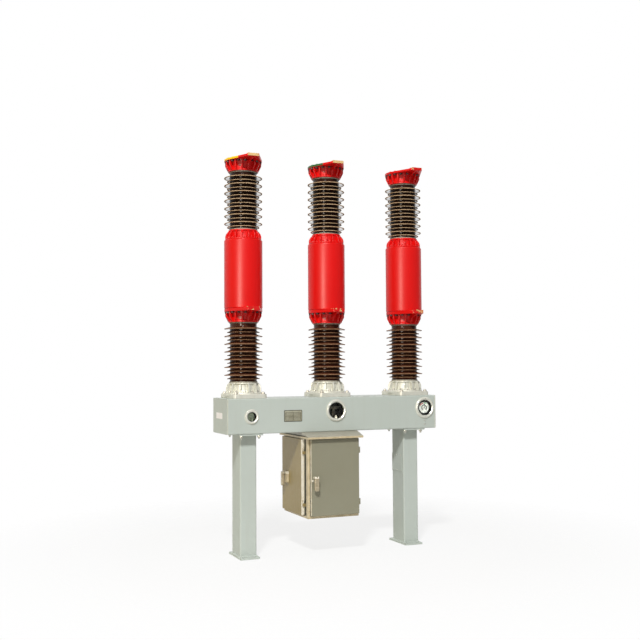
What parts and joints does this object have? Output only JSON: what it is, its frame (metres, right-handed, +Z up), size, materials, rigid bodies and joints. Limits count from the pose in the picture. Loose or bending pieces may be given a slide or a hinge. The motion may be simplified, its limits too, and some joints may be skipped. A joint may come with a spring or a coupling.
{
  "type": "outdoor gas circuit breaker",
  "caption": "Outdoor live-tank gas circuit breaker: insulated poles with red tanks on a two-legged steel beam, with a hanging mechanism cabinet.",
  "frame": {"origin": "on the ground, midway between the two feet and midway between front and back foundation holes", "axes": "+X along the beam to the right seen from the front, +Y to the back, +Z up; terminals and the cabinet's front door face -Y"},
  "size_m": [1.776, 0.6175, 3.049],
  "materials": {
    "frame_paint": "pale grey-green enamel, satin",
    "cabinet_paint": "olive grey enamel, satin",
    "red_paint": "gloss red enamel",
    "brown_porcelain": "deep brown glaze, glossy",
    "silver_casting": "aluminium casting with silver paint",
    "bare_metal_rim": "turned ring, satin",
    "window_glass": "clear flat pane",
    "dark_interior": "matt black inside",
    "bright_handle": "plated zinc casting"
  },
  "bodies": {
    "frame": {"beam_bottom_cover": "frame_paint", "beam_shell": "frame_paint", "cabinet_body": "cabinet_paint", "cabinet_roof": "cabinet_paint", "front_hinges": "cabinet_paint", "gauge_can": "dark_interior", "gauge_glass": "window_glass", "gauge_rim": "bare_metal_rim", "indicator_can": "dark_interior", "indicator_glass": "window_glass", "indicator_rim": "bare_metal_rim", "left_end_cover": "frame_paint", "left_head": "red_paint", "left_leg": "frame_paint", "left_lower_porcelain": "brown_porcelain", "left_lower_terminal": "red_paint", "left_pole_base": "silver_casting", "left_tank": "red_paint", "left_tank_crown": "red_paint", "left_upper_porcelain": "brown_porcelain", "leg_cover": "frame_paint", "middle_head": "red_paint", "middle_lower_porcelain": "brown_porcelain", "middle_lower_terminal": "red_paint", "middle_pole_base": "silver_casting", "middle_tank": "red_paint", "middle_tank_crown": "red_paint", "middle_upper_porcelain": "brown_porcelain", "right_end_cover": "frame_paint", "right_head": "red_paint", "right_leg": "frame_paint", "right_lower_porcelain": "brown_porcelain", "right_lower_terminal": "red_paint", "right_pole_base": "silver_casting", "right_tank": "red_paint", "right_tank_crown": "red_paint", "right_upper_porcelain": "brown_porcelain", "side_hinges": "cabinet_paint", "viewer_can": "dark_interior", "viewer_glass": "window_glass", "viewer_rim": "bare_metal_rim"},
    "front_door": {"front_door": "cabinet_paint"},
    "side_door": {"side_door": "cabinet_paint"},
    "front_handle": {"front_handle": "bright_handle"},
    "side_handle": {"side_handle": "bright_handle"}
  },
  "joints": [
    {"name": "front_door_swing", "type": "hinge", "parent": "frame", "child": "front_door", "pos_m": [0.1665, -0.2415, 0.304], "axis": [0, 0, 1], "range_deg": [0, 110]},
    {"name": "side_door_swing", "type": "hinge", "parent": "frame", "child": "side_door", "pos_m": [-0.2745, -0.1595, 0.304], "axis": [0, 0, 1], "range_deg": [0, 50]},
    {"name": "front_handle_turn", "type": "hinge", "parent": "front_door", "child": "front_handle", "pos_m": [-0.213, -0.2525, 0.592], "axis": [0, -1, 0], "range_deg": [0, 90]},
    {"name": "side_handle_turn", "type": "hinge", "parent": "side_door", "child": "side_handle", "pos_m": [-0.2855, 0.165, 0.592], "axis": [-1, 0, 0], "range_deg": [0, 90]}
  ]
}
